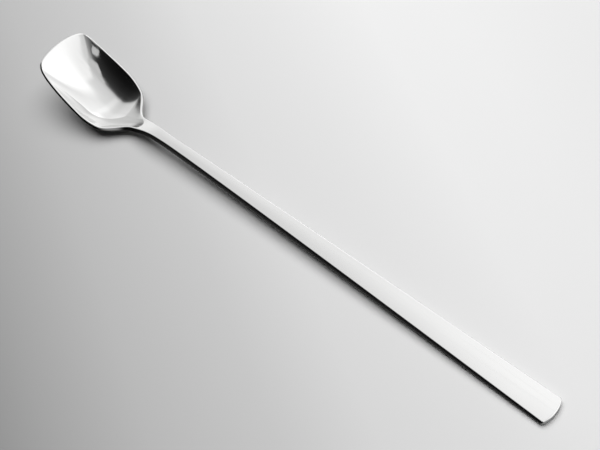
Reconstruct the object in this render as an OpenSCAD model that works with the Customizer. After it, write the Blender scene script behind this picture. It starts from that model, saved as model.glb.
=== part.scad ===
// Iced tea spoon: a small squared bowl on a long slim handle, pressed in one piece from a blank of
// stainless steel. It lies along X, with the tip of the bowl at the -X end and the handle's end at +X.
// It rests on the bowl's underside and on the handle's end, and the origin is the middle of its box,
// on the surface that it rests on. Places along the spoon are measured from the tip.

/* [Outline seen from above] */
// Length from the tip of the bowl to the handle's end
length = 200; // [170:1:240]
// Width of the bowl at its widest
bowl_w = 24.4; // [18:0.1:28]
// Distance from the tip to the widest place of the bowl
bowl_x = 19.6; // [15:0.1:24]
// Distance from the tip to where the shoulders run out into the neck
root_x = 36.4; // [34:0.1:44]
// Length over which the shoulders draw in
shoulder_l = 9.7; // [8:0.1:13]
// Width of the neck at its slimmest
neck_w = 4.2; // [3:0.1:6]
// Distance from the tip to the slimmest place of the neck
neck_x = 52; // [48:0.1:70]
// Extra width of the neck where it meets the shoulders
flare_w = 2.2; // [0.5:0.1:3]
// Width of the handle at its end
end_w = 10.4; // [7:0.1:14]
// Length of the rounded end of the handle
end_l = 2.1; // [1.5:0.1:4]

/* [Side line: height of the upper edge over the resting surface] */
// Height of the upper edge at the crest of the neck
crest_h = 6.6; // [5:0.1:9]
// Distance from the tip to the crest of the neck
crest_x = 58.4; // [48:0.1:60]
// Height of the upper edge at the handle's end
end_h = 2; // [1.7:0.1:4]
// Height that the tip of the bowl is lifted over the crest
tip_lift = 11.8; // [5:0.1:13]
// Length of the bowl that the lift reaches over
lift_l = 45.5; // [40:0.1:52]
// Depth of the dip between the bowl and the neck
dip_h = 2.8; // [1:0.1:3]
// Distance from the tip to the lowest place of the dip
dip_x = 32.1; // [32:0.1:36]
// Length of the dip on the side of the bowl
dip_bowl_l = 21.8; // [16:0.1:30]
// Length of the dip on the side of the neck
dip_neck_l = 14.2; // [9:0.1:18]

/* [Dish and metal] */
// Depth of the dish under the rim at the widest place of the bowl
dish_h = 6; // [4.8:0.1:6.6]
// Distance from the tip to where the dish runs out
dish_l = 42; // [39:0.1:46]
// Height of the crown along the middle of the neck and the handle
crown_h = 0.1; // [0.05:0.05:0.5]
// Thickness of the metal in the bowl
bowl_t = 1; // [0.8:0.05:1.3]
// Thickness of the metal at the neck
neck_t = 3; // [2.2:0.05:3.6]
// Thickness of the metal at the handle's end
end_t = 2; // [1.3:0.05:2.4]
// Radius of the rounded edge of the bowl
bowl_edge_r = 0.4; // [0.3:0.05:0.6]
// Radius of the rounded edge of the neck and the handle
edge_r = 0.5; // [0.4:0.05:0.9]

/* [Fineness] */
// Steps in each quarter of the bowl's front and in the handle's end
corner_steps = 11; // [8:1:12]
// Steps along the shoulders and the neck
neck_steps = 34; // [24:1:40]
// Steps along the handle
handle_steps = 28; // [16:1:32]
// Rings between the middle line and the rim
rings = 8; // [5:1:9]
// Steps round the rolled edge
edge_steps = 6; // [4:2:6]

/* [Hidden] */

// Squareness of the bowl's front and of the handle's end, where 2 is an ellipse
front_power = 10.4;
end_power = 3;
// Shares by which the front and the sides of the bowl bow out between its corners
front_bow_share = 0.079;
side_bow_share = 0.102;
// Share of its width that the bowl has lost where the shoulders run out
draw_share = 0.582;
// Share by which the handle's end bows out
end_bow_share = 0.26;
// Powers of the curves: the shoulders' drawing in, the handle's widening and fall, the tip's lift, the
// dip behind the bowl, and the dish towards the neck and from side to side
shoulder_power = 1.1;
widen_power = 1.12;
fall_power = 1.25;
lift_power = 3;
dip_power = 1.5;
run_power = 1.5;
dish_power = 2.4;
// Powers of the rounded edge: a half circle on the bowl, squarer with the metal's thickness
round_power = 2;
square_power = 4;
// Part of a ring's spacing over which slopes are taken
slope_share = 0.01;

end_x = length - end_l;
blend_l = root_x - bowl_x;

function mix(a, b, t) = a + (b - a) * t;
function clamp(t) = min(1, max(0, t));
// Half a cosine wave, from 0 to 1
function ease(t) = (1 - cos(180 * clamp(t))) / 2;
// Power of a number that keeps its sign
function signed_pow(v, p) = sign(v) * pow(abs(v), p);
function unit(v) = v / norm(v);

// Half width of the neck and the handle
function handle_half(x) =
    x > neck_x
        ? mix(neck_w, end_w, pow((x - neck_x) / (end_x - neck_x), widen_power)) / 2
        : mix(neck_w, neck_w + flare_w, pow((neck_x - x) / (neck_x - root_x), 2)) / 2;

// Half width of the bowl behind its widest place, before the shoulders draw it in
function bowl_half(x) = bowl_w / 2 * (1 - draw_share * pow((x - bowl_x) / blend_l, 2));

// Half width of the spoon behind the bowl's widest place
function half_width(x) =
    let (drawn = pow(clamp((x - root_x + shoulder_l) / shoulder_l), shoulder_power))
    mix(bowl_half(x), handle_half(x), ease(drawn));

// Quarter of a squared ellipse in a unit box, from [1, 0] to [0, 1], with its points gathered at the corner
function squared_quarter(power, steps) =
    let (mid = pow(0.5, 1 / power))
    concat(
        [for (i = [0 : steps - 1])
            let (v = mid * sin(90 * i / steps))
            [pow(1 - pow(v, power), 1 / power), v]],
        [for (i = [0 : steps])
            let (u = mid * cos(90 * i / steps))
            [u, pow(1 - pow(u, power), 1 / power)]]);

// A squared quarter whose sides bow out, measured from its centre
function bowed(q, length, half, front_share, side_share) =
    [length * q[0] * (1 - front_share * pow(q[1], 2)), half * q[1] * (1 - side_share * pow(q[0], 2))];

// Half outline, from the tip along the +Y side to the middle of the handle's end
front_quarter = squared_quarter(front_power, corner_steps);
front_half = [
    for (q = front_quarter)
        let (p = bowed(q, bowl_x, bowl_w / 2, front_bow_share, side_bow_share))
        [bowl_x - p[0], p[1]]
];
neck_half = [
    for (i = [1 : neck_steps])
        let (x = mix(bowl_x, neck_x, i / neck_steps))
        [x, half_width(x)]
];
handle_outline = [
    for (i = [1 : handle_steps])
        let (x = mix(neck_x, end_x, i / handle_steps))
        [x, half_width(x)]
];
end_quarter = squared_quarter(end_power, ceil(corner_steps / 2));
end_outline = [
    for (i = [len(end_quarter) - 2 : -1 : 0])
        let (p = bowed(end_quarter[i], end_l, end_w / 2, end_bow_share, 0))
        [end_x + p[0], p[1]]
];
half_outline = concat(front_half, neck_half, handle_outline, end_outline);

// Whole outline, closed over the -Y side
half_n = len(half_outline) - 1;
outline_n = 2 * half_n;
function wrap(i) = (i + outline_n) % outline_n;
function fold(i) = min(i, outline_n - i);
function outline(i) =
    let (k = wrap(i), p = half_outline[fold(k)])
    [p[0], k <= half_n ? p[1] : -p[1]];

// Thickness of the metal, which grows behind the bowl's widest place and thins towards the handle's end
function metal_t(x) =
    x < crest_x
        ? mix(bowl_t, neck_t, ease((x - bowl_x) / (crest_x - bowl_x)))
        : mix(neck_t, end_t, (x - crest_x) / (length - crest_x));
function edge_reach(x) = min(metal_t(x) / 2, mix(bowl_edge_r, edge_r, ease((x - bowl_x) / blend_l)));
function edge_power(x) = mix(round_power, square_power, clamp((metal_t(x) - bowl_t) / (neck_t - bowl_t)));

// Height of the upper edge before the spoon is settled on its two rests
function side_line(x) =
    let (
        fall = x > crest_x ? pow((x - crest_x) / (length - crest_x), fall_power) : 0,
        lift = pow(max(0, 1 - x / lift_l), lift_power),
        away = (x - dip_x) / (x < dip_x ? dip_bowl_l : dip_neck_l)
    )
    mix(crest_h, end_h, fall) + tip_lift * lift - dip_h * pow(1 - ease(abs(away)), dip_power);

// Depth of the dish along the middle line
function dish_line(x) = dish_h * pow(1 - ease((x - bowl_x) / (dish_l - bowl_x)), run_power);
function crown_line(x) = crown_h * ease((x - root_x + shoulder_l) / (crest_x - root_x + shoulder_l));

// Height of the metal's middle layer, at a place along the spoon and a share of the way out to the rim
function layer_h(x, share) =
    side_line(x) - metal_t(x) / 2
    - dish_line(x) * (1 - pow(share, dish_power))
    + crown_line(x) * (1 - pow(share, 2));

// The two rests: the lowest place under the bowl, and the handle's end
rest_xs = [for (i = [0 : neck_steps]) mix(bowl_x / 2, root_x, i / neck_steps)];
rest_hs = [for (x = rest_xs) layer_h(x, 0) - metal_t(x) / 2];
bowl_rest_h = min(rest_hs);
bowl_rest_x = rest_xs[search(bowl_rest_h, rest_hs)[0]];
end_rest_x = length - edge_r;
end_rest_h = layer_h(end_rest_x, 1) - metal_t(end_rest_x) / 2;
// Height taken off at each place so that both rests touch the surface
function settle(x) = mix(bowl_rest_h, end_rest_h, (x - bowl_rest_x) / (end_rest_x - bowl_rest_x));

// Rim of the middle layer: the outline, drawn in by the rounded edge
function rim(i) =
    let (p = outline(i), along = unit(outline(i + 1) - outline(i - 1)))
    p - edge_reach(p[0]) * [-along[1], along[0]];
rims = [for (i = [0 : outline_n - 1]) rim(i)];

// Middle line: one place for the whole front of the bowl, one for the rounded end, and one for each
// pair of rim points between them
front_n = len(front_half) - 1;
spine_n = half_n - len(end_outline) - front_n;
function spine_index(i) = min(max(fold(wrap(i)), front_n), front_n + spine_n) - front_n;
function spine(i) = rims[front_n + spine_index(i)][0];

// How far an outline point of the bowl's front stands out past the ellipse inside the squared rim
function corner_reach(i) = fold(wrap(i)) < front_n ? norm(front_quarter[fold(wrap(i))]) : 1;

// A place on the middle layer: an outline number and a share of the way down the dish's side, where
// the rings round off from the squared rim to an ellipse at the bottom of the dish
function layer(i, share) =
    let (
        p = rims[wrap(i)],
        reach = share * mix(1 / corner_reach(i), 1, pow(share, 2)),
        x = mix(spine(i), p[0], reach)
    )
    [x, p[1] * reach, layer_h(x, share) - settle(x)];
function layer_along(i, share) = layer(i + 1, share) - layer(i - 1, share);
function layer_normal(i, share) =
    unit(cross(layer_along(i, share), layer(i, share + slope_share) - layer(i, share - slope_share)));
function spine_point(s) =
    let (x = rims[front_n + s][0])
    [x, 0, layer_h(x, 0) - settle(x)];
function spine_normal(s) =
    let (
        x = rims[front_n + s][0],
        reach = slope_share * bowl_x,
        rise = layer_h(x + reach, 0) - layer_h(x - reach, 0) - settle(x + reach) + settle(x - reach)
    )
    unit([-rise, 0, 2 * reach]);

// Rings lie closer together towards the rim, where the dish is steepest
function ring_share(j) = pow(j / rings, 0.8);

// Upper or lower face: its middle line, then its rings
function face_points(side) = concat(
    [for (s = [0 : spine_n])
        let (p = spine_point(s))
        p + side * metal_t(p[0]) / 2 * spine_normal(s)],
    [for (j = [1 : rings], i = [0 : outline_n - 1])
        let (p = layer(i, ring_share(j)))
        p + side * metal_t(p[0]) / 2 * layer_normal(i, ring_share(j))]);

// Rounded edge between the two faces
function edge_point(i, e) =
    let (
        p = layer(i, 1),
        up = layer_normal(i, 1),
        out = unit(cross(up, layer_along(i, 1))),
        angle = 90 - 180 * e / edge_steps,
        power = 2 / edge_power(p[0])
    )
    p + edge_reach(p[0]) * signed_pow(cos(angle), power) * out
      + metal_t(p[0]) / 2 * signed_pow(sin(angle), power) * up;
edge_points = [for (e = [1 : edge_steps - 1], i = [0 : outline_n - 1]) edge_point(i, e)];

// Numbers of the points: the upper face comes first, then the lower face, then the edge
face_n = spine_n + 1 + rings * outline_n;
function face_index(i, j, lower) =
    (lower ? face_n : 0) + (j == 0 ? spine_index(i) : spine_n + 1 + (j - 1) * outline_n + wrap(i));
function edge_index(i, e) =
    e == 0 ? face_index(i, rings, false)
    : e == edge_steps ? face_index(i, rings, true)
    : 2 * face_n + (e - 1) * outline_n + wrap(i);

function turned(t, lower) = lower ? [t[2], t[1], t[0]] : t;
// Two triangles between neighbouring points, or one where the middle line has a single point
function cell(a, b, c, d, lower) =
    a == b
        ? [turned([a, d, c], lower)]
        : [turned([a, d, c], lower), turned([a, c, b], lower)];
function face_cells(lower) = [
    for (j = [0 : rings - 1], i = [0 : outline_n - 1])
        each cell(
            face_index(i, j, lower), face_index(i + 1, j, lower),
            face_index(i + 1, j + 1, lower), face_index(i, j + 1, lower), lower)
];
edge_cells = [
    for (e = [0 : edge_steps - 1], i = [0 : outline_n - 1])
        each cell(edge_index(i, e), edge_index(i + 1, e), edge_index(i + 1, e + 1), edge_index(i, e + 1), false)
];

// The spoon: one loft of the metal's middle layer, thickened to both faces and closed by a rounded edge
module spoon() {
    color("silver")
        translate([-length / 2, 0, 0])
            polyhedron(
                points = concat(face_points(1), face_points(-1), edge_points),
                faces = concat(face_cells(false), face_cells(true), edge_cells));
}

spoon();
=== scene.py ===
"""Iced tea spoon: a small squared bowl on a long slim handle, one piece of stainless steel.

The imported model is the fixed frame: metres, +X towards the handle's end, +Z up, and the origin in
the middle of the spoon's box, on the surface that it rests on. Places along the spoon are measured
from the tip of the bowl.
"""
from __future__ import annotations

import logging
import math
from collections.abc import Callable, Iterator
from contextlib import contextmanager
from dataclasses import dataclass, field
from enum import Enum
from typing import Any

import bmesh
import bpy
import numpy as np
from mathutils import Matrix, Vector


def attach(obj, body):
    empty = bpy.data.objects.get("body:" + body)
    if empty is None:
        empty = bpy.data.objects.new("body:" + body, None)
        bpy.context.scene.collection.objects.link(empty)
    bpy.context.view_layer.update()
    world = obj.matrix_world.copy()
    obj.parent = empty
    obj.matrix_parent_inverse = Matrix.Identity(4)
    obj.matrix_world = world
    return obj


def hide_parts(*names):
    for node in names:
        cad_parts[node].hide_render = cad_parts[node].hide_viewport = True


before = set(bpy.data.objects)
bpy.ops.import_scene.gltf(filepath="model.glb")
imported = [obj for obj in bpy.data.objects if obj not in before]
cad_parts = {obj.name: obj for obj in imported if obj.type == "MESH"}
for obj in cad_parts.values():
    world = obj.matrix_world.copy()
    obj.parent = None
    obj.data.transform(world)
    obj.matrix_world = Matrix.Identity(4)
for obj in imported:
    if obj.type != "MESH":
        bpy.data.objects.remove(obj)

LOG = logging.getLogger("iced_tea_spoon")
MM = 0.001
BODY = "root"


class Tool(Enum):
    """The tools that work a piece, each a modifier that is applied at once."""

    PRESS = "DISPLACE"
    THICKEN = "SOLIDIFY"
    ROUND = "BEVEL"
    POLISH = "SUBSURF"


def ease(share: np.ndarray | float) -> np.ndarray:
    """Eases a share along half a cosine wave, and holds it at the ends outside 0 to 1."""
    return (1 - np.cos(np.pi * np.clip(share, 0, 1))) / 2


def mix(low: Any, high: Any, share: Any) -> Any:
    """Goes from low to high by a share."""
    return low + (high - low) * share


# Pieces on the bench


@dataclass
class Bench:
    """A piece in work, whose vertices are picked in code before each tool.

    Attributes:
        piece: the object in work.
        row: the number of each vertex's row, counted from the tip.
        column: the number of each vertex's column, counted from the -Y edge.
    """

    piece: bpy.types.Object
    row: np.ndarray = field(default_factory=lambda: np.zeros(0, int))
    column: np.ndarray = field(default_factory=lambda: np.zeros(0, int))

    @staticmethod
    def clear() -> None:
        """Deselects every object."""
        bpy.ops.object.select_all(action="DESELECT")

    def take_up(self) -> None:
        """Selects the piece alone and makes it the active one."""
        self.clear()
        self.piece.select_set(True)
        bpy.context.view_layer.objects.active = self.piece

    @contextmanager
    def editing(self) -> Iterator[None]:
        """Opens the piece in edit mode, and closes it afterwards."""
        self.take_up()
        bpy.ops.object.mode_set(mode="EDIT")
        bpy.ops.mesh.select_mode(type="VERT")
        try:
            yield
        finally:
            bpy.ops.object.mode_set(mode="OBJECT")

    def places(self) -> np.ndarray:
        """Reads where the vertices are.

        Returns:
            One row of x, y and z for each vertex.
        """
        flat = np.zeros(3 * len(self.piece.data.vertices))
        self.piece.data.vertices.foreach_get("co", flat)
        return flat.reshape(-1, 3)

    def number(self, rows: int, columns: int) -> None:
        """Numbers the rows and columns of a fresh grid by the places of its vertices.

        Args:
            rows: how many rows of vertices the grid has.
            columns: how many vertices each row has.
        """
        at = self.places()
        low, high = at.min(0), at.max(0)
        self.row = np.rint((at[:, 0] - low[0]) / (high[0] - low[0]) * (rows - 1)).astype(int)
        self.column = np.rint((at[:, 1] - low[1]) / (high[1] - low[1]) * (columns - 1)).astype(int)

    def pick(self, wanted: np.ndarray) -> None:
        """Selects some of the vertices, and nothing else.

        Args:
            wanted: one truth value for each vertex.
        """
        mesh = bmesh.from_edit_mesh(self.piece.data)
        mesh.verts.ensure_lookup_table()
        for vertex, chosen in zip(mesh.verts, wanted.tolist()):
            vertex.select_set(chosen)
        mesh.select_flush_mode()
        bmesh.update_edit_mesh(self.piece.data, loop_triangles=False, destructive=False)

    @staticmethod
    def move(x: float = 0, y: float = 0, z: float = 0) -> None:
        """Moves what is picked."""
        bpy.ops.transform.translate(value=(x, y, z))

    @staticmethod
    def stretch(x: float = 1, y: float = 1, centre: tuple[float, float, float] = (0, 0, 0)) -> None:
        """Stretches what is picked away from a centre."""
        bpy.ops.transform.resize(value=(x, y, 1), center_override=centre)

    def mark_sharp_edges(self, angle: float, weight: Callable[[float], float]) -> int:
        """Gives a bevel weight to each edge where the faces meet at a sharp angle.

        Args:
            angle: the least angle between the faces' normals, in degrees.
            weight: gives the weight for a place along X.

        Returns:
            How many edges were marked.
        """
        mesh = bmesh.new()
        mesh.from_mesh(self.piece.data)
        layer = mesh.edges.layers.float.new("bevel_weight_edge")
        marked = 0
        for edge in mesh.edges:
            if edge.calc_face_angle(0) > math.radians(angle):
                edge[layer] = weight((edge.verts[0].co.x + edge.verts[1].co.x) / 2)
                marked += 1
        mesh.to_mesh(self.piece.data)
        mesh.free()
        return marked

    def weigh(self, name: str, weights: np.ndarray) -> None:
        """Gives each vertex its weight in a named group.

        Args:
            name: the group's name.
            weights: one weight from 0 to 1 for each vertex.
        """
        group = self.piece.vertex_groups.new(name=name)
        for index, weight in enumerate(weights.tolist()):
            group.add([index], weight, "REPLACE")

    def work(self, tool: Tool, name: str, **settings: Any) -> None:
        """Adds one modifier and applies it.

        Args:
            tool: the kind of modifier.
            name: its name.
            settings: its settings.
        """
        modifier = self.piece.modifiers.new(name, tool.value)
        for key, value in settings.items():
            setattr(modifier, key, value)
        self.take_up()
        bpy.ops.object.modifier_apply(modifier=modifier.name)

    def press(self, name: str, travel: np.ndarray) -> None:
        """Presses the piece: each vertex goes its own way, up or down.

        Args:
            name: what the press forms.
            travel: how far up each vertex goes, in metres, where all go up or all go down.
        """
        reach = float(travel[np.argmax(np.abs(travel))])
        self.weigh(name, np.clip(travel / reach, 0, 1))
        self.work(Tool.PRESS, name, direction="Z", strength=reach, mid_level=0, vertex_group=name)


# The spoon


@dataclass(frozen=True)
class Outline:
    """The spoon seen from above. Lengths are in metres, and places are measured from the tip.

    Attributes:
        length: from the tip of the bowl to the handle's end.
        bowl_half: half the width of the bowl at its widest.
        bowl_x: place where the bowl is widest.
        root_x: place where the shoulders run out into the neck.
        shoulder_l: length over which the shoulders draw in.
        neck_half: half the width of the neck at its slimmest.
        neck_x: place where the neck is slimmest.
        flare_half: extra half width of the neck where it meets the shoulders.
        end_half: half the width of the handle at its end.
        end_l: length of the handle's rounded end.
        front_power: squareness of the bowl's front, where 2 is an ellipse.
        end_power: squareness of the handle's end.
        front_bow: share by which the bowl's front bows out between its corners.
        side_bow: share by which the bowl's sides bow out.
        end_bow: share by which the handle's end bows out.
        draw: share of its width that the bowl has lost where the shoulders run out.
        shoulder_power: power of the shoulders' drawing in.
        widen_power: power of the handle's widening.
    """

    length: float = 200 * MM
    bowl_half: float = 12.2 * MM
    bowl_x: float = 19.6 * MM
    root_x: float = 36.4 * MM
    shoulder_l: float = 9.7 * MM
    neck_half: float = 2.1 * MM
    neck_x: float = 52 * MM
    flare_half: float = 1.1 * MM
    end_half: float = 5.2 * MM
    end_l: float = 2.1 * MM
    front_power: float = 10.4
    end_power: float = 3
    front_bow: float = 0.079
    side_bow: float = 0.102
    end_bow: float = 0.26
    draw: float = 0.582
    shoulder_power: float = 1.1
    widen_power: float = 1.12

    @property
    def end_x(self) -> float:
        """Place where the handle's rounded end begins."""
        return self.length - self.end_l

    def half_width(self, x: np.ndarray | float) -> np.ndarray:
        """Gives half the spoon's width behind the widest place of the bowl.

        Args:
            x: places along the spoon.

        Returns:
            The half width at each place.
        """
        widened = np.clip((x - self.neck_x) / (self.end_x - self.neck_x), 0, 1) ** self.widen_power
        flared = np.clip((self.neck_x - x) / (self.neck_x - self.root_x), 0, None) ** 2
        handle = mix(self.neck_half, self.end_half, widened) + self.flare_half * flared
        drawn = self.draw * np.clip((x - self.bowl_x) / (self.root_x - self.bowl_x), 0, None) ** 2
        bowl = self.bowl_half * (1 - drawn)
        turned = np.clip((x - self.root_x + self.shoulder_l) / self.shoulder_l, 0, 1)
        return mix(bowl, handle, ease(turned ** self.shoulder_power))


def corner_of(power: float) -> float:
    """Gives where a squared ellipse has its corner, as a share of its half width."""
    return 0.5 ** (1 / power)


def squared(share: np.ndarray | float, power: float) -> np.ndarray:
    """Gives how far out a squared ellipse's side is, at a share of the way to its corner."""
    return (1 - (corner_of(power) * np.asarray(share)) ** power) ** (1 / power)


@dataclass(frozen=True)
class SideForm:
    """The press that gives the flat blank its side line and its dish. Lengths are in metres.

    Attributes:
        outline: the spoon seen from above.
        crest_h: height of the upper edge at the crest of the neck.
        crest_x: place of the crest.
        end_h: height of the upper edge at the handle's end.
        tip_lift: height that the tip is lifted over the crest.
        lift_l: length of the bowl that the lift reaches over.
        dip_h: depth of the dip between the bowl and the neck.
        dip_x: place of the dip's bottom.
        dip_bowl_l: length of the dip on the side of the bowl.
        dip_neck_l: length of the dip on the side of the neck.
        dish_h: depth of the dish at the widest place of the bowl.
        dish_l: place where the dish runs out.
        crown_h: height of the crown along the middle of the neck and the handle.
        bowl_t: thickness of the metal in the bowl.
        neck_t: thickness of the metal at the crest of the neck.
        end_t: thickness of the metal at the handle's end.
        bowl_edge_r: radius of the bowl's rounded edge.
        edge_r: radius of the neck's and the handle's rounded edge.
        fall_power: power of the handle's fall.
        lift_power: power of the tip's lift.
        dip_power: power of the dip.
        run_power: power of the dish's run towards the neck.
        dish_power: power of the curve from the middle of the dish to the rim.
        root_power: the same where the shoulders run out.
        rim_places: how many places the rim is traced through, on each side of its corner.
        rest_places: how many places the underside is searched at for the lowest one.
        rounds: how often a share of the dish is worked out more closely.
    """

    outline: Outline = Outline()
    crest_h: float = 6.6 * MM
    crest_x: float = 58.4 * MM
    end_h: float = 2 * MM
    tip_lift: float = 11.8 * MM
    lift_l: float = 45.5 * MM
    dip_h: float = 2.8 * MM
    dip_x: float = 32.1 * MM
    dip_bowl_l: float = 21.8 * MM
    dip_neck_l: float = 14.2 * MM
    dish_h: float = 6 * MM
    dish_l: float = 42 * MM
    crown_h: float = 0.1 * MM
    bowl_t: float = 1 * MM
    neck_t: float = 3 * MM
    end_t: float = 2 * MM
    bowl_edge_r: float = 0.4 * MM
    edge_r: float = 0.5 * MM
    fall_power: float = 1.25
    lift_power: float = 3
    dip_power: float = 1.5
    run_power: float = 1.5
    dish_power: float = 2.4
    root_power: float = 1.6
    rim_places: int = 80
    rest_places: int = 400
    rounds: int = 12

    def metal(self, x: np.ndarray) -> np.ndarray:
        """Gives the thickness of the metal.

        Args:
            x: places along the spoon.

        Returns:
            The thickness at each place.
        """
        start = self.outline.bowl_x
        bowl = mix(self.bowl_t, self.neck_t, ease((x - start) / (self.crest_x - start)))
        thinned = np.clip((x - self.crest_x) / (self.outline.length - self.crest_x), 0, 1)
        return np.where(x < self.crest_x, bowl, mix(self.neck_t, self.end_t, thinned))

    def edge(self, x: np.ndarray) -> np.ndarray:
        """Gives the radius of the rounded edge at places along the spoon."""
        start = self.outline.bowl_x
        return mix(self.bowl_edge_r, self.edge_r, ease((x - start) / (self.outline.root_x - start)))

    def side_line(self, x: np.ndarray) -> np.ndarray:
        """Gives the height of the upper edge before the spoon is settled.

        Args:
            x: places along the spoon.

        Returns:
            The height at each place.
        """
        fallen = np.clip((x - self.crest_x) / (self.outline.length - self.crest_x), 0, None)
        lift = np.clip(1 - x / self.lift_l, 0, None) ** self.lift_power
        reach = np.where(x < self.dip_x, self.dip_bowl_l, self.dip_neck_l)
        dip = (1 - ease(np.abs(x - self.dip_x) / reach)) ** self.dip_power
        fall = mix(self.crest_h, self.end_h, fallen ** self.fall_power)
        return fall + self.tip_lift * lift - self.dip_h * dip

    def dish_line(self, x: np.ndarray) -> np.ndarray:
        """Gives the depth of the dish along the middle of the spoon."""
        start = self.outline.bowl_x
        return self.dish_h * (1 - ease((x - start) / (self.dish_l - start))) ** self.run_power

    def side_curve(self, x: np.ndarray) -> np.ndarray:
        """Gives the power of the curve by which the dish rises to the rim.

        Args:
            x: places along the spoon.

        Returns:
            The power at each place, which falls towards the neck, where the sides lie flatter.
        """
        start = self.outline.bowl_x
        along = (x - start) / (self.outline.root_x - start)
        return mix(self.dish_power, self.root_power, ease(along))

    def crown_line(self, x: np.ndarray) -> np.ndarray:
        """Gives the height of the crown along the middle of the spoon."""
        start = self.outline.root_x - self.outline.shoulder_l
        return self.crown_h * ease((x - start) / (self.crest_x - start))

    def upper_edge(self, x: np.ndarray) -> np.ndarray:
        """Gives the height of the metal's middle layer at the rim."""
        return self.side_line(x) - self.metal(x) / 2

    def middle(self, x: np.ndarray) -> np.ndarray:
        """Gives the height of the metal's middle layer along the middle of the spoon."""
        return self.upper_edge(x) - self.dish_line(x) + self.crown_line(x)

    def settle(self, x: np.ndarray) -> np.ndarray:
        """Gives the height taken off so that the bowl and the handle's end rest on the surface.

        Args:
            x: places along the spoon.

        Returns:
            The height taken off at each place.
        """
        rests = np.linspace(self.outline.bowl_x / 2, self.outline.root_x, self.rest_places)
        under = self.middle(rests) - self.metal(rests) / 2
        low = int(np.argmin(under))
        end_x = self.outline.length - self.edge_r
        end = float(self.upper_edge(np.array(end_x)) - self.metal(np.array(end_x)) / 2)
        return mix(under[low], end, (x - rests[low]) / (end_x - rests[low]))

    def rim(self) -> tuple[np.ndarray, np.ndarray, np.ndarray]:
        """Traces the rim of the bowl's front from the tip to the widest place.

        Returns:
            The angle of each rim place round the middle of the widest place, its distance from
            there less the rounded edge, and how far it stands out past an ellipse in the same box.
        """
        o = self.outline
        share = np.sin(np.linspace(0, np.pi / 2, self.rim_places))
        side = corner_of(o.front_power) * share
        front = squared(share, o.front_power)
        u = np.concatenate([front, side[::-1][1:]])
        v = np.concatenate([side, front[::-1][1:]])
        x = o.bowl_x * u * (1 - o.front_bow * v ** 2)
        y = o.bowl_half * v * (1 - o.side_bow * u ** 2)
        along_x, along_y = np.gradient(x), np.gradient(y)
        size = np.hypot(along_x, along_y)
        x = x - self.bowl_edge_r * along_y / size
        y = y + self.bowl_edge_r * along_x / size
        return np.arctan2(y, x), np.hypot(x, y), np.hypot(u, v)

    def shares(self, x: np.ndarray, y: np.ndarray) -> np.ndarray:
        """Gives how far up the dish each place is, from 0 in the middle to 1 at the rim.

        Args:
            x: places along the spoon.
            y: places across it.

        Returns:
            The share of each place, a little over 1 on the rounded edge.
        """
        o = self.outline
        reach = np.abs(y) / (o.half_width(x) - self.edge(x))
        angle, far, stands_out = self.rim()
        ahead = o.bowl_x - x
        here = np.arctan2(np.abs(y), ahead)
        front = ahead > 0
        reach = np.where(front, np.hypot(ahead, y) / np.interp(here, angle, far), reach)
        out = np.where(front, np.interp(here, angle, stands_out), 1)
        share = reach.copy()
        for _ in range(self.rounds):
            value = share * (1 / out + (1 - 1 / out) * share ** 2) - reach
            share = share - value / (1 / out + 3 * (1 - 1 / out) * share ** 2)
        return share


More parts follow.
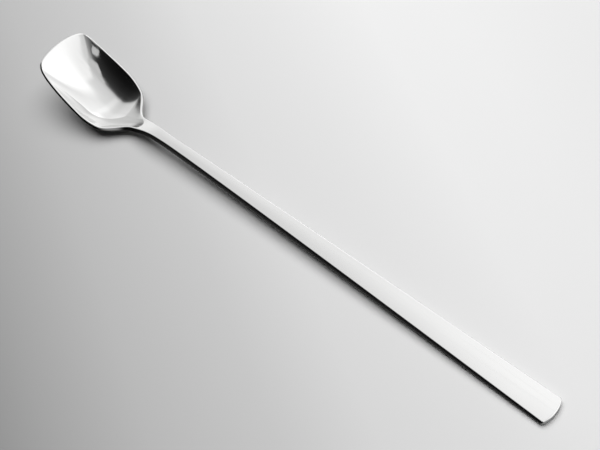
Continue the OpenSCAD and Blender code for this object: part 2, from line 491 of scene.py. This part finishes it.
@dataclass
class Spoon:
    """The whole spoon: one piece of metal, cut as a flat blank, pressed, edge-rounded and polished.

    Attributes:
        form: the shape that the press gives.
        across: shares of the half width at which the columns lie, apart from the one on the rim.
        front_rows: rows between the tip and the widest place of the bowl.
        shoulder_rows: rows from there to where the shoulders run out.
        neck_rows: rows from there to the slimmest place of the neck.
        handle_rows: rows along the handle.
        edge_margin: width of the strip along the rim that the rounding is cut from.
        edge_segments: steps round the edge.
        wall_slope: slope of the dish at the rim where it is deepest.
        rim_inset: width that is kept back all round for the polish.
        end_inset: length that is kept back at the handle's end.
        corner_inset: half width that is kept back there.
        front_power: how far the front rows are gathered towards the tip.
        handle_power: how far the handle's rows are gathered towards the neck.
        end_share: share of the rounded end at which its first row lies.
        sharp_angle: least angle of an edge that is rounded, in degrees.
        round_share: most of the metal's thickness that the rounding takes.
        round_profile: shape of the rounding, where a half is round.
    """

    form: SideForm = SideForm()
    across: tuple[float, ...] = (0.19, 0.37, 0.53, 0.66, 0.765, 0.845, 0.905, 0.955, 1.0)
    front_rows: int = 16
    shoulder_rows: int = 26
    neck_rows: int = 16
    handle_rows: int = 44
    edge_margin: float = 0.8 * MM
    edge_segments: int = 4
    wall_slope: float = 1.3
    rim_inset: float = 0.09 * MM
    end_inset: float = 0.03 * MM
    corner_inset: float = 0.02 * MM
    front_power: float = 0.9
    handle_power: float = 1.15
    end_share: float = 0.3
    sharp_angle: float = 50
    round_share: float = 0.46
    round_profile: float = 0.5

    def stations(self) -> tuple[np.ndarray, np.ndarray, np.ndarray]:
        """Lays out the rows along the spoon.

        Returns:
            The share of each front row from the widest place to the tip, the places of the rows
            behind it up to the handle's rounded end, and the shares of the rows in that end.
        """
        o = self.form.outline
        first = 1 - self.edge_margin / o.bowl_x
        inner = first * np.sin(np.linspace(np.pi / 2, 0, self.front_rows)) ** self.front_power
        along_handle = np.linspace(0, 1, self.handle_rows + 1)[1:] ** self.handle_power
        behind = np.concatenate([
            np.linspace(o.bowl_x, o.root_x, self.shoulder_rows + 1)[1:],
            np.linspace(o.root_x, o.neck_x, self.neck_rows + 1)[1:],
            o.neck_x + (o.end_x - o.neck_x) * along_handle,
        ])
        end = np.array([self.end_share, 1 - self.edge_margin / o.end_l, 1.0])
        return np.concatenate([[1.0], inner]), behind, end

    def drawn_in(self, x: np.ndarray) -> np.ndarray:
        """Gives how far the blank is drawn in, so that its finished rim ends on the outline."""
        tilt = np.arctan(self.wall_slope * self.form.dish_line(x) / self.form.dish_h)
        return self.form.edge(x) * (1 - np.cos(tilt)) + self.rim_inset

    def share_of(self, number: int, half: float) -> float:
        """Gives the share of the half width at which a column lies.

        Args:
            number: the column's number, counted from the middle.
            half: half the width there.

        Returns:
            The share, which is 1 for the column on the rim.
        """
        if number > len(self.across):
            return 1.0
        return self.across[number - 1] * (1 - self.edge_margin / half)

    def cut_blank(self) -> Bench:
        """Cuts the flat blank from a grid whose rows and columns are drawn to the outline.

        Returns:
            The flat blank on the bench.
        """
        o = self.form.outline
        front, behind, end = self.stations()
        columns = 2 * len(self.across) + 3
        rows = len(front) + len(behind) + len(end)
        Bench.clear()
        bpy.ops.mesh.primitive_grid_add(
            x_subdivisions=rows - 1, y_subdivisions=columns - 1, size=2, location=(0, 0, 0))
        bench = Bench(bpy.context.object)
        bench.piece.name = "spoon_body"
        bench.number(rows, columns)
        middle = len(self.across) + 1
        side = np.abs(bench.column - middle)
        sign = np.sign(bench.column - middle)
        tip_draw = float(self.drawn_in(np.array(0.0)))
        tip_l = o.bowl_x - tip_draw
        widest = o.bowl_half - tip_draw
        front_corner, end_corner = corner_of(o.front_power), corner_of(o.end_power)
        with bench.editing():
            self.draw_columns(bench, side, sign)
            for number in range(rows):
                start = 2 * number / (rows - 1) - 1
                if number < len(front):
                    a = float(front[number])
                    place = o.bowl_x - tip_l * a
                    bow = 1 - o.side_bow * (front_corner * a) ** 2
                    half = widest * float(squared(a, o.front_power)) * bow
                elif number < len(front) + len(behind):
                    place = float(behind[number - len(front)])
                    half = float(o.half_width(place) - self.drawn_in(np.array(place)))
                else:
                    a = float(end[number - len(front) - len(behind)])
                    place = o.end_x + (o.end_l - self.end_inset) * a
                    half = float(o.end_half - self.corner_inset) * float(squared(a, o.end_power))
                bench.pick(bench.row == number)
                bench.move(x=place - o.length / 2 - start)
                bench.stretch(y=half - self.edge_margin)
                for way in (-1, 1):
                    bench.pick((bench.row == number) & (side == middle) & (sign == way))
                    bench.move(y=way * self.edge_margin)
            at_front = bench.row < len(front)
            at_end = bench.row >= len(front) + len(behind)
            for number in range(1, middle + 1):
                share = self.share_of(number, widest)
                bow = 1 - o.front_bow * (front_corner * share) ** 2
                reach = float(squared(share, o.front_power)) * bow
                bench.pick(at_front & (side == number))
                bench.stretch(x=reach, centre=(o.bowl_x - o.length / 2, 0, 0))
                share = self.share_of(number, o.end_half)
                bow = 1 - o.end_bow * (end_corner * share) ** 2
                reach = float(squared(share, o.end_power)) * bow
                bench.pick(at_end & (side == number))
                bench.stretch(x=reach, centre=(o.end_x - o.length / 2, 0, 0))
        LOG.info("blank: %d rows of %d", rows, columns)
        return bench

    def draw_columns(self, bench: Bench, side: np.ndarray, sign: np.ndarray) -> None:
        """Moves the columns of the stock grid closer together towards the rim.

        Args:
            bench: the stock grid, open in edit mode, two metres wide.
            side: number of each vertex's column, counted from the middle.
            sign: which side of the middle each vertex is on.
        """
        last = len(self.across) + 1
        for number in range(1, last + 1):
            target = self.across[number - 1] if number < last else 1.0
            for way in (-1, 1):
                bench.pick((side == number) & (sign == way))
                bench.move(y=way * (target - number / last))

    def press(self, bench: Bench) -> None:
        """Presses the flat blank to its side line and dish.

        Args:
            bench: the flat blank.
        """
        form = self.form
        at = bench.places()
        x, y = at[:, 0] + form.outline.length / 2, at[:, 1]
        share = form.shares(x, y)
        line = form.upper_edge(x) - form.settle(x)
        dish = form.dish_line(x) * (1 - share ** form.side_curve(x))
        crown = form.crown_line(x) * (1 - share ** 2)
        lowest = float(line.min())
        bench.press("side_line", line - lowest)
        bench.press("rim_rise", np.clip(-dish, 0, None))
        bench.press("dish", -np.clip(dish, 0, None))
        bench.press("crown", np.clip(crown, 0, None))
        with bench.editing():
            bpy.ops.mesh.select_all(action="SELECT")
            bench.move(z=lowest)

    def thicken(self, bench: Bench) -> None:
        """Gives the pressed sheet its metal and rounds its edges.

        Args:
            bench: the pressed sheet.
        """
        form = self.form
        tip_x = -form.outline.length / 2
        bench.weigh("metal", form.metal(bench.places()[:, 0] - tip_x) / form.neck_t)
        bench.work(
            Tool.THICKEN, "metal", thickness=form.neck_t, offset=0, vertex_group="metal",
            thickness_vertex_group=0, use_even_offset=True, use_quality_normals=True)

        def rounding(x: float) -> float:
            """Gives the rounding's radius at a place along X, as a share of the largest."""
            radius = min(form.edge(x - tip_x), form.metal(x - tip_x) * self.round_share)
            return float(radius / form.edge_r)

        marked = bench.mark_sharp_edges(self.sharp_angle, rounding)
        LOG.info("rim: %d edges to round", marked)
        bench.work(
            Tool.ROUND, "rounded_edge", limit_method="WEIGHT", width=form.edge_r,
            segments=self.edge_segments, profile=self.round_profile, use_clamp_overlap=False,
            offset_type="OFFSET", loop_slide=True)
        bench.work(Tool.POLISH, "polish", levels=1, render_levels=1)

    def build(self) -> bpy.types.Object:
        """Makes the spoon.

        Returns:
            The finished piece, which stands for the CAD node and rides on its body.
        """
        bench = self.cut_blank()
        self.press(bench)
        self.thicken(bench)
        piece = bench.piece
        bench.take_up()
        bpy.ops.object.shade_smooth()
        piece.vertex_groups.clear()
        piece.data.materials.clear()
        piece.data.materials.append(PolishedSteel().material())
        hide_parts("spoon")
        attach(piece, BODY)
        return piece


# Finishes


class Wire:
    """One socket of a shader, which can be added, multiplied and compared like a number."""

    def __init__(self, board: ShaderBoard, socket: bpy.types.NodeSocket) -> None:
        """Wraps a socket of a board."""
        self.board = board
        self.socket = socket

    def _maths(self, operation: str, first: Any, second: Any) -> Wire:
        """Adds one Math node, whose two inputs are values or wires."""
        return self.board.add("ShaderNodeMath", {"operation": operation}, {0: first, 1: second})

    def __add__(self, other: Any) -> Wire:
        """Adds."""
        return self._maths("ADD", self, other)

    __radd__ = __add__

    def __mul__(self, other: Any) -> Wire:
        """Multiplies."""
        return self._maths("MULTIPLY", self, other)

    __rmul__ = __mul__

    def __sub__(self, other: Any) -> Wire:
        """Takes away."""
        return self._maths("SUBTRACT", self, other)

    def __rsub__(self, other: Any) -> Wire:
        """Takes this away from a number."""
        return self._maths("SUBTRACT", other, self)

    def __truediv__(self, other: Any) -> Wire:
        """Divides."""
        return self._maths("DIVIDE", self, other)

    def __rtruediv__(self, other: Any) -> Wire:
        """Divides a number by this."""
        return self._maths("DIVIDE", other, self)

    def at_least(self, other: Any) -> Wire:
        """Keeps the larger of two."""
        return self._maths("MAXIMUM", self, other)


class ShaderBoard:
    """The node tree of one finish, cleared and ready."""

    def __init__(self, owner: bpy.types.Material | bpy.types.World) -> None:
        """Opens an owner's node tree and clears it.

        Args:
            owner: the material or the world.
        """
        owner.use_nodes = True
        self.tree = owner.node_tree
        self.tree.nodes.clear()

    def add(
        self, kind: str, settings: dict[str, Any], values: dict[Any, Any], out: Any = 0,
    ) -> Wire:
        """Adds one node.

        Args:
            kind: the node's type.
            settings: its settings, which are set first.
            values: the value or wire of each socket that isn't left alone.
            out: the name or number of the output that is wanted.

        Returns:
            That output, or the first input of a node that has no output.
        """
        node = self.tree.nodes.new(kind)
        for key, value in settings.items():
            if key == "stops":
                self._ramp(node.color_ramp, value)
            else:
                setattr(node, key, value)
        for key, value in values.items():
            socket = node.inputs[key]
            if isinstance(value, Wire):
                self.tree.links.new(value.socket, socket)
            else:
                socket.default_value = value
        if not node.outputs:
            return Wire(self, node.inputs[0])
        return Wire(self, node.outputs[out])

    @staticmethod
    def _ramp(ramp: bpy.types.ColorRamp, stops: list[tuple[float, tuple[float, ...]]]) -> None:
        """Sets a ramp's stops.

        Args:
            ramp: the ramp.
            stops: place and colour of each stop, in order.
        """
        while len(ramp.elements) > 1:
            ramp.elements.remove(ramp.elements[-1])
        for number, (place, colour) in enumerate(stops):
            stop = ramp.elements[0] if number == 0 else ramp.elements.new(place)
            stop.position = place
            stop.color = colour

    def noise(self, place: Wire, scale: tuple[float, float, float], detail: float) -> Wire:
        """Adds a noise whose fineness differs along X, Y and Z."""
        space = self.add("ShaderNodeMapping", {}, {"Vector": place, "Scale": scale})
        return self.add("ShaderNodeTexNoise", {}, {"Vector": space, "Scale": 1.0, "Detail": detail})

    def smooth(self, value: Any, low: float, high: float) -> Wire:
        """Goes smoothly from 0 to 1.

        Args:
            value: what is followed.
            low: where the result is 0.
            high: where it is 1.

        Returns:
            The smooth step.
        """
        return self.add(
            "ShaderNodeMapRange", {"interpolation_type": "SMOOTHSTEP"},
            {"Value": value, "From Min": low, "From Max": high, "To Min": 0.0, "To Max": 1.0})

    def parts(self, vector: Wire) -> tuple[Wire, ...]:
        """Takes a place or a direction apart into X and Y."""
        return tuple(
            self.add("ShaderNodeSeparateXYZ", {}, {"Vector": vector}, axis) for axis in "XY")

    def follow(self, way: Wire, levels: tuple[tuple[float, float], ...]) -> Wire:
        """Follows a list of places and grey levels, where the places go from -1 to 1."""
        greys = [((place + 1) / 2, (level, level, level, 1)) for place, level in levels]
        return self.add("ShaderNodeValToRGB", {"stops": greys}, {0: (way + 1) * 0.5})

    def blend(self, low: Any, high: Any, share: Any) -> Wire:
        """Mixes two colours by the share of the second."""
        return self.add(
            "ShaderNodeMix", {"data_type": "RGBA"}, {"Factor": share, 6: low, 7: high}, out=2)


@dataclass(frozen=True)
class PolishedSteel:
    """Polished stainless steel, with the fine lines of the polishing wheel along the spoon.

    Attributes:
        name: the finish's name.
        colour: colour of the clean metal.
        shade: colour where it is a little duller.
        roughness: how soft its reflections are where it is brightest.
        dulling: how much softer they are where it is duller.
        scratch: how much softer they are in the polishing lines.
        line_scale: fineness of the polishing lines along and across the spoon.
        cloud_scale: fineness of the duller patches.
        hair_scale: fineness of the hair lines.
        line_detail: how many finer layers the polishing lines have.
        cloud_detail: the same for the duller patches.
        hair_detail: the same for the hair lines.
        line_band: values of the line pattern between which a line comes to show.
        line_share: shares of the relief that are in the polishing lines and in the hair lines.
        relief: how strong the relief is.
    """

    name: str = "polished_stainless_steel"
    colour: tuple[float, float, float, float] = (0.93, 0.93, 0.925, 1)
    shade: tuple[float, float, float, float] = (0.89, 0.89, 0.885, 1)
    roughness: float = 0.045
    dulling: float = 0.03
    scratch: float = 0.1
    line_scale: tuple[float, float, float] = (18, 1500, 150)
    cloud_scale: tuple[float, float, float] = (60, 90, 90)
    hair_scale: tuple[float, float, float] = (120, 5000, 5000)
    line_detail: float = 3
    cloud_detail: float = 2
    hair_detail: float = 1
    line_band: tuple[float, float] = (0.5, 0.7)
    line_share: tuple[float, float] = (0.7, 0.3)
    relief: float = 0.003

    def material(self) -> bpy.types.Material:
        """Makes the material.

        Returns:
            The material.
        """
        material = bpy.data.materials.new(self.name)
        board = ShaderBoard(material)
        place = board.add("ShaderNodeTexCoord", {}, {}, out="Object")
        lines = board.noise(place, self.line_scale, self.line_detail)
        cloud = board.noise(place, self.cloud_scale, self.cloud_detail)
        hairs = board.noise(place, self.hair_scale, self.hair_detail)
        height = lines * self.line_share[0] + hairs * self.line_share[1]
        scratched = board.smooth(lines, *self.line_band)
        bump = board.add(
            "ShaderNodeBump", {}, {"Height": height, "Strength": self.relief, "Distance": MM},
            out="Normal")
        shader = board.add("ShaderNodeBsdfPrincipled", {}, {
            "Base Color": board.blend(self.colour, self.shade, cloud),
            "Metallic": 1.0,
            "Roughness": self.roughness + cloud * self.dulling + scratched * self.scratch,
            "Normal": bump,
        })
        board.add("ShaderNodeOutputMaterial", {}, {"Surface": shader})
        return material


@dataclass(frozen=True)
class FloorWithPaintedLight:
    """The pale floor that the spoon lies on, with a painted light falloff in its colour, which is
    darker satin metal, as painted shade, in the spoon's reflections.

    Attributes:
        name: the finish's name.
        painted_light_falloff: painted light, how pale the floor's colour is at places along the
            light's fall, in metres from the middle.
        reach: how far from the middle the fall is followed, in metres.
        way: the direction along which the floor's colour grows paler as painted light.
        roughness: how soft its faint sheen is.
        gloss: how strong the sheen is.
        shaded_satin_colour: colour of the satin face that the floor shows in the spoon, darkened as
            painted shade.
        satin_roughness: how soft that face is.
    """

    name: str = "pale_floor"
    painted_light_falloff: tuple[tuple[float, float], ...] = (
        (-0.2, 0.18), (-0.114, 0.25), (-0.087, 0.4), (-0.06, 0.53), (-0.027, 0.63), (0.0, 0.76),
        (0.027, 0.82), (0.06, 0.91), (0.09, 0.92), (0.13, 0.9), (0.2, 0.92))
    reach: float = 0.2
    way: tuple[float, float] = (0.497, 0.868)
    roughness: float = 0.5
    gloss: float = 0.1
    shaded_satin_colour: tuple[float, float, float, float] = (0.3, 0.3, 0.3, 1)
    satin_roughness: float = 0.2

    def material(self) -> bpy.types.Material:
        """Makes the material.

        Returns:
            The material.
        """
        material = bpy.data.materials.new(self.name)
        board = ShaderBoard(material)
        place = board.add("ShaderNodeTexCoord", {}, {}, out="Object")
        x, y = board.parts(place)
        along = (x * self.way[0] + y * self.way[1]) / self.reach
        # Painted light: the floor's colour grows paler along one direction, standing in for the
        # light's fall over the floor.
        pale = board.follow(along, tuple((at / self.reach, level) for at, level in self.painted_light_falloff))
        matte = board.add("ShaderNodeBsdfPrincipled", {}, {
            "Base Color": pale, "Roughness": self.roughness, "Specular IOR Level": self.gloss})
        # Painted shade: in the spoon's reflections the floor is a darker satin metal copy of
        # itself, which darkens the spoon's sides and underside.
        satin = board.add("ShaderNodeBsdfPrincipled", {}, {
            "Base Color": self.shaded_satin_colour, "Metallic": 1.0, "Roughness": self.satin_roughness})
        mirrored = board.add("ShaderNodeLightPath", {}, {}, out="Is Glossy Ray")
        shader = board.add("ShaderNodeMixShader", {}, {0: mirrored, 1: matte, 2: satin})
        board.add("ShaderNodeOutputMaterial", {}, {"Surface": shader})
        return material


@dataclass(frozen=True)
class CardFace:
    """The face of a lit card, which gives a plain, even light.

    Attributes:
        name: the finish's name.
        level: how bright it looks, where 1 is white.
    """

    name: str
    level: float

    def material(self) -> bpy.types.Material:
        """Makes the material.

        Returns:
            The material.
        """
        material = bpy.data.materials.new(self.name)
        board = ShaderBoard(material)
        face = board.add("ShaderNodeEmission", {}, {"Color": (1, 1, 1, 1), "Strength": self.level})
        board.add("ShaderNodeOutputMaterial", {}, {"Surface": face})
        return material


# The studio


@dataclass(frozen=True)
class Card:
    """A lit card that hangs over the object and is seen only in reflections.

    Attributes:
        name: the card's name.
        level: how bright it looks, where 1 is white.
        corners: its corners in X and Y, in metres and anticlockwise.
        height: its height over the floor, in metres.
    """

    name: str
    level: float
    corners: tuple[tuple[float, float], ...]
    height: float = 0.5

    def hang(self) -> bpy.types.Object:
        """Cuts the card to its corners and hangs it.

        Returns:
            The card.
        """
        Bench.clear()
        bpy.ops.mesh.primitive_circle_add(
            vertices=len(self.corners), radius=1, fill_type="NGON", location=(0, 0, self.height))
        bench = Bench(bpy.context.object)
        before = bench.places()
        with bench.editing():
            for number, corner in enumerate(self.corners):
                bench.pick(np.arange(len(before)) == number)
                bench.move(corner[0] - before[number, 0], corner[1] - before[number, 1])
        card = bench.piece
        card.name = self.name
        card.data.materials.append(CardFace(self.name, self.level).material())
        card.visible_camera = False
        card.visible_diffuse = False
        card.visible_shadow = False
        card.visible_transmission = False
        return card


@dataclass(frozen=True)
class Room:
    """The light of the room by direction: dark behind the camera, bright beyond the object.

    Attributes:
        levels: levels at directions from the camera's side (-Y) to the far side (+Y).
        gains: how much of that is left at directions from -X to +X, beyond the object.
        gains_y: directions along Y between which the gains come in.
        rise_x: directions towards -X between which the dark side comes to reach up farther.
        rise: how much farther it reaches up there.
        corner_x: directions towards -X between which it sinks away at the room's corner.
        corner_drop: how far it sinks there.
        sill_level: level of the bright strip under the window.
        sill_x: directions along X between which the strip comes in.
        sill_y: the same along Y.
        sill_slant: direction along X from which the strip's lower edge climbs, and how steeply.
        window_level: level of the large window towards +X.
        window_x: directions along X between which the window's light comes in.
        window_y: the same along Y.
        far_level: level of the bright band low over the far side.
        far_x: directions along X between which the band runs out.
        far_y: directions along Y between which it comes in.
        wall_level: level of the grey wall at the right, behind the camera.
        wall_x: directions along X between which the wall comes in.
        wall_y: the same along Y.
        wall_end_y: directions along Y between which it ends.
        backdrop_level: level of the surroundings that the camera sees past the floor.
    """

    levels: tuple[tuple[float, float], ...] = (
        (-1, 0.0), (-0.7, 0.01), (-0.5, 0.024), (-0.36, 0.04), (-0.27, 0.075), (-0.24, 0.13),
        (-0.21, 0.25), (-0.18, 0.4), (-0.14, 0.56), (-0.08, 0.67), (0, 0.72), (0.1, 0.74),
        (0.2, 0.78), (0.35, 0.81), (0.5, 0.94), (0.7, 0.97), (1, 0.88))
    gains: tuple[tuple[float, float], ...] = (
        (-1, 1.0), (-0.7, 0.95), (-0.5, 0.88), (-0.3, 0.92), (-0.1, 1.08), (0.03, 1.06),
        (0.2, 0.92), (0.4, 0.97), (1, 0.9))
    gains_y: tuple[float, float] = (-0.2, 0.0)
    rise_x: tuple[float, float] = (0.2, 0.42)
    rise: float = 0.04
    corner_x: tuple[float, float] = (0.45, 0.8)
    corner_drop: float = 0.1
    sill_level: float = 0.95
    sill_x: tuple[float, float] = (0.45, 0.56)
    sill_y: tuple[float, float] = (-0.01, 0.05)
    sill_slant: tuple[float, float] = (0.65, 0.9)
    window_level: float = 1.15
    window_x: tuple[float, float] = (0.2, 0.42)
    window_y: tuple[float, float] = (0.2, 0.5)
    far_level: float = 1.5
    far_x: tuple[float, float] = (-0.35, 0.06)
    far_y: tuple[float, float] = (0.7, 0.97)
    wall_level: float = 0.26
    wall_x: tuple[float, float] = (0.4, 0.8)
    wall_y: tuple[float, float] = (-0.93, -0.5)
    wall_end_y: tuple[float, float] = (-0.15, 0.0)
    backdrop_level: float = 0.9

    def shine(self) -> None:
        """Gives the scene its world."""
        world = bpy.data.worlds.new("room")
        bpy.context.scene.world = world
        world.cycles_visibility.diffuse = False
        board = ShaderBoard(world)
        way = board.add("ShaderNodeTexCoord", {}, {}, out="Generated")
        x, y = board.parts(way)
        sunk = (y - board.smooth(0 - x, *self.rise_x) * self.rise
                + board.smooth(0 - x, *self.corner_x) * self.corner_drop)
        beyond = board.smooth(y, *self.gains_y)
        gain = 1 + (board.follow(x, self.gains) - 1) * beyond
        level = board.follow(sunk, self.levels) * gain
        wall = board.smooth(x, *self.wall_x) * board.smooth(y, *self.wall_y)
        wall = wall * (1 - board.smooth(y, *self.wall_end_y))
        level = level + wall * (self.wall_level - level)
        slanted = y - (x - self.sill_slant[0]).at_least(0) * self.sill_slant[1]
        sill = board.smooth(x, *self.sill_x) * board.smooth(slanted, *self.sill_y)
        level = level + sill * (self.sill_level - level)
        window = board.smooth(x, *self.window_x) * board.smooth(y, *self.window_y)
        level = level + window * (self.window_level - level)
        far = board.smooth(y, *self.far_y) * (1 - board.smooth(x, *self.far_x))
        level = level + far * (self.far_level - level)
        camera = board.add("ShaderNodeLightPath", {}, {}, out="Is Camera Ray")
        level = level + camera * (self.backdrop_level - level)
        shader = board.add("ShaderNodeBackground", {}, {"Color": (1, 1, 1, 1), "Strength": level})
        board.add("ShaderNodeOutputWorld", {}, {"Surface": shader})


@dataclass
class Studio:
    """The floor, the light and the camera.

    Attributes:
        aim: the place that the camera looks at.
        distance: how far the camera is from there.
        azimuth: its direction, in degrees from -Y towards +X.
        elevation: how high it stands, in degrees.
        lens: its focal length in millimetres.
        sensor: width of its frame in millimetres.
        nearest: how close the camera sees, in metres.
        lamp_place: where the soft lamp hangs, turned to the middle of the floor.
        lamp_size: how wide it is, in metres.
        lamp_energy: its power, in watts.
        floor_size: width of the floor, in metres.
        room: the light of the room.
        cards: the lit cards over the object.
    """

    aim: tuple[float, float, float] = (0.00148, 0.0049, 0)
    distance: float = 0.3983
    azimuth: float = 40.06
    elevation: float = 53.88
    lens: float = 75.9
    sensor: float = 36
    nearest: float = 0.01
    lamp_place: tuple[float, float, float] = (-0.26, 0.13, 1.0)
    lamp_size: float = 1.35
    lamp_energy: float = 14.5
    floor_size: float = 12
    room: Room = Room()
    cards: tuple[Card, ...] = (
        Card("small_card", 0.54, (
            (0.122, -0.517), (0.167, -0.453), (0.255, -0.334), (0.291, -0.223), (0.271, -0.206),
            (0.187, -0.31), (0.15, -0.391))),
        Card("large_card", 0.56, (
            (0.175, -0.236), (0.231, -0.169), (0.323, -0.072), (0.391, 0.02), (0.344, 0.02),
            (0.243, -0.023), (0.143, -0.056), (0.094, -0.076), (0.094, -0.127), (0.116, -0.147),
            (0.137, -0.211))),
    )

    def lay_floor(self) -> bpy.types.Object:
        """Lays the floor.

        Returns:
            The floor.
        """
        Bench.clear()
        bpy.ops.mesh.primitive_plane_add(size=self.floor_size, location=(0, 0, 0))
        floor = bpy.context.object
        floor.name = "floor"
        floor.data.materials.append(FloorWithPaintedLight().material())
        return floor

    def light(self) -> None:
        """Sets the room's light, the cards and the soft lamp."""
        self.room.shine()
        for card in self.cards:
            card.hang()
        Bench.clear()
        way = Vector(self.lamp_place)
        bpy.ops.object.light_add(
            type="AREA", location=way, rotation=(-way).to_track_quat("-Z", "Y").to_euler())
        lamp = bpy.context.object
        lamp.name = "soft_lamp"
        lamp.data.shape = "DISK"
        lamp.data.size = self.lamp_size
        lamp.data.energy = self.lamp_energy
        lamp.visible_glossy = False

    def stand_camera(self) -> bpy.types.Object:
        """Stands the camera at the photograph's angle.

        Returns:
            The camera.
        """
        a, e = math.radians(self.azimuth), math.radians(self.elevation)
        aim = Vector(self.aim)
        way = Vector((math.cos(e) * math.sin(a), -math.cos(e) * math.cos(a), math.sin(e)))
        Bench.clear()
        bpy.ops.object.camera_add(
            location=aim + way * self.distance, rotation=(-way).to_track_quat("-Z", "Y").to_euler())
        camera = bpy.context.object
        camera.data.sensor_fit = "HORIZONTAL"
        camera.data.sensor_width = self.sensor
        camera.data.lens = self.lens
        camera.data.clip_start = self.nearest
        bpy.context.scene.camera = camera
        return camera

    def build(self) -> None:
        """Sets up the studio."""
        self.lay_floor()
        self.light()
        self.stand_camera()
        bpy.context.scene.view_settings.view_transform = "Standard"


def main() -> None:
    """Builds the spoon and its studio, and reports each piece."""
    logging.basicConfig(level=logging.INFO, format="%(name)s: %(message)s")
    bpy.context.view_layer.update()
    piece = Spoon().build()
    LOG.info("%s: %d faces", piece.name, len(piece.data.polygons))
    Studio().build()


if __name__ == "__main__":
    main()
